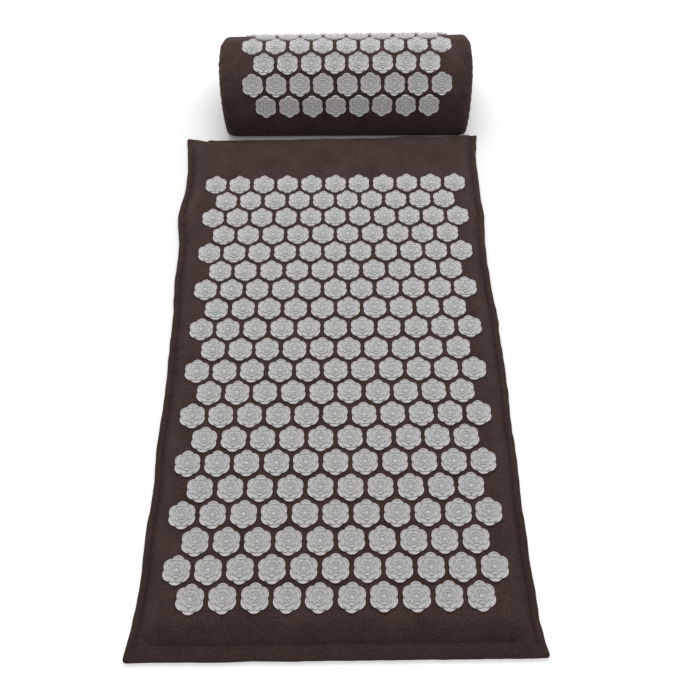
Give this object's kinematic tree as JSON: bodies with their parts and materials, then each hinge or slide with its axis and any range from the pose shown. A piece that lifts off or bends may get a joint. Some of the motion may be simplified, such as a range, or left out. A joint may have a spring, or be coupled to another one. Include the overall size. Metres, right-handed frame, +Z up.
{
  "type": "acupressure mat",
  "caption": "Flat padded cotton mat and arched cotton pillow, both covered in rows of moulded plastic lotus discs with short spikes, with foam cores and zipped covers.",
  "frame": {"origin": "on the floor under the middle of the mat, in the mat's flat underside", "axes": "+Y from the mat's foot to its head edge and on to the pillow; +X to the right of someone who looks from the foot; +Z up"},
  "size_m": [0.4314, 0.8528, 0.1089],
  "materials": {
    "cover_cotton": "dark brown plain-weave cotton with pale specks, matt",
    "disc_plastic": "light grey moulded ABS with a soft satin surface",
    "foam": "off-white open-cell polyurethane foam",
    "zip_tape": "dark brown woven polyester tape",
    "zip_teeth": "dark brown nylon coil",
    "zip_metal": "dark brown enamelled zinc alloy"
  },
  "bodies": {
    "mat": {"mat_top_panel": "cover_cotton", "mat_bottom_panel": "cover_cotton", "mat_foam_core": "foam", "mat_disc_row_01": "disc_plastic", "mat_disc_row_02": "disc_plastic", "mat_disc_row_03": "disc_plastic", "mat_disc_row_04": "disc_plastic", "mat_disc_row_05": "disc_plastic", "mat_disc_row_06": "disc_plastic", "mat_disc_row_07": "disc_plastic", "mat_disc_row_08": "disc_plastic", "mat_disc_row_09": "disc_plastic", "mat_disc_row_10": "disc_plastic", "mat_disc_row_11": "disc_plastic", "mat_disc_row_12": "disc_plastic", "mat_disc_row_13": "disc_plastic", "mat_disc_row_14": "disc_plastic", "mat_disc_row_15": "disc_plastic", "mat_disc_row_16": "disc_plastic", "mat_disc_row_17": "disc_plastic", "mat_disc_row_18": "disc_plastic", "mat_disc_row_19": "disc_plastic", "mat_disc_row_20": "disc_plastic", "mat_zip_upper_tape": "zip_tape", "mat_zip_lower_tape": "zip_tape", "mat_zip_upper_teeth": "zip_teeth", "mat_zip_lower_teeth": "zip_teeth", "mat_zip_upper_stop": "zip_metal", "mat_zip_lower_stop": "zip_metal", "mat_zip_end_stop": "zip_metal"},
    "mat_zip_slider": {"mat_zip_slider": "zip_metal"},
    "mat_zip_pull": {"mat_zip_pull_tab": "zip_metal"},
    "pillow": {"pillow_top_panel": "cover_cotton", "pillow_base_panel": "cover_cotton", "pillow_left_end": "cover_cotton", "pillow_right_end": "cover_cotton", "pillow_foam_core": "foam", "pillow_disc_row_1": "disc_plastic", "pillow_disc_row_2": "disc_plastic", "pillow_disc_row_3": "disc_plastic", "pillow_disc_row_4": "disc_plastic", "pillow_disc_row_5": "disc_plastic", "pillow_disc_row_6": "disc_plastic", "pillow_disc_row_7": "disc_plastic", "pillow_zip_upper_tape": "zip_tape", "pillow_zip_lower_tape": "zip_tape", "pillow_zip_upper_teeth": "zip_teeth", "pillow_zip_lower_teeth": "zip_teeth", "pillow_zip_upper_stop": "zip_metal", "pillow_zip_lower_stop": "zip_metal", "pillow_zip_end_stop": "zip_metal"},
    "pillow_zip_slider": {"pillow_zip_slider": "zip_metal"},
    "pillow_zip_pull": {"pillow_zip_pull_tab": "zip_metal"}
  },
  "joints": [
    {"name": "mat_zip_slide", "type": "slide", "parent": "mat", "child": "mat_zip_slider", "axis": [1, 0, 0], "range_m": [0, 0.332]},
    {"name": "mat_zip_pull_swing", "type": "hinge", "parent": "mat_zip_slider", "child": "mat_zip_pull", "pos_m": [-0.166, 0.35075, 0.0059], "axis": [0, 0, 1], "range_deg": [0, 180]},
    {"name": "pillow_lift", "type": "slide", "parent": "mat", "child": "pillow", "axis": [0, 0, 1], "range_m": [0, 0.25]},
    {"name": "pillow_zip_slide", "type": "slide", "parent": "pillow", "child": "pillow_zip_slider", "axis": [1, 0, 0], "range_m": [0, 0.2714]},
    {"name": "pillow_zip_pull_swing", "type": "hinge", "parent": "pillow_zip_slider", "child": "pillow_zip_pull", "pos_m": [-0.1177, 0.50364, 0.0059], "axis": [0, 0, 1], "range_deg": [0, 180]}
  ]
}
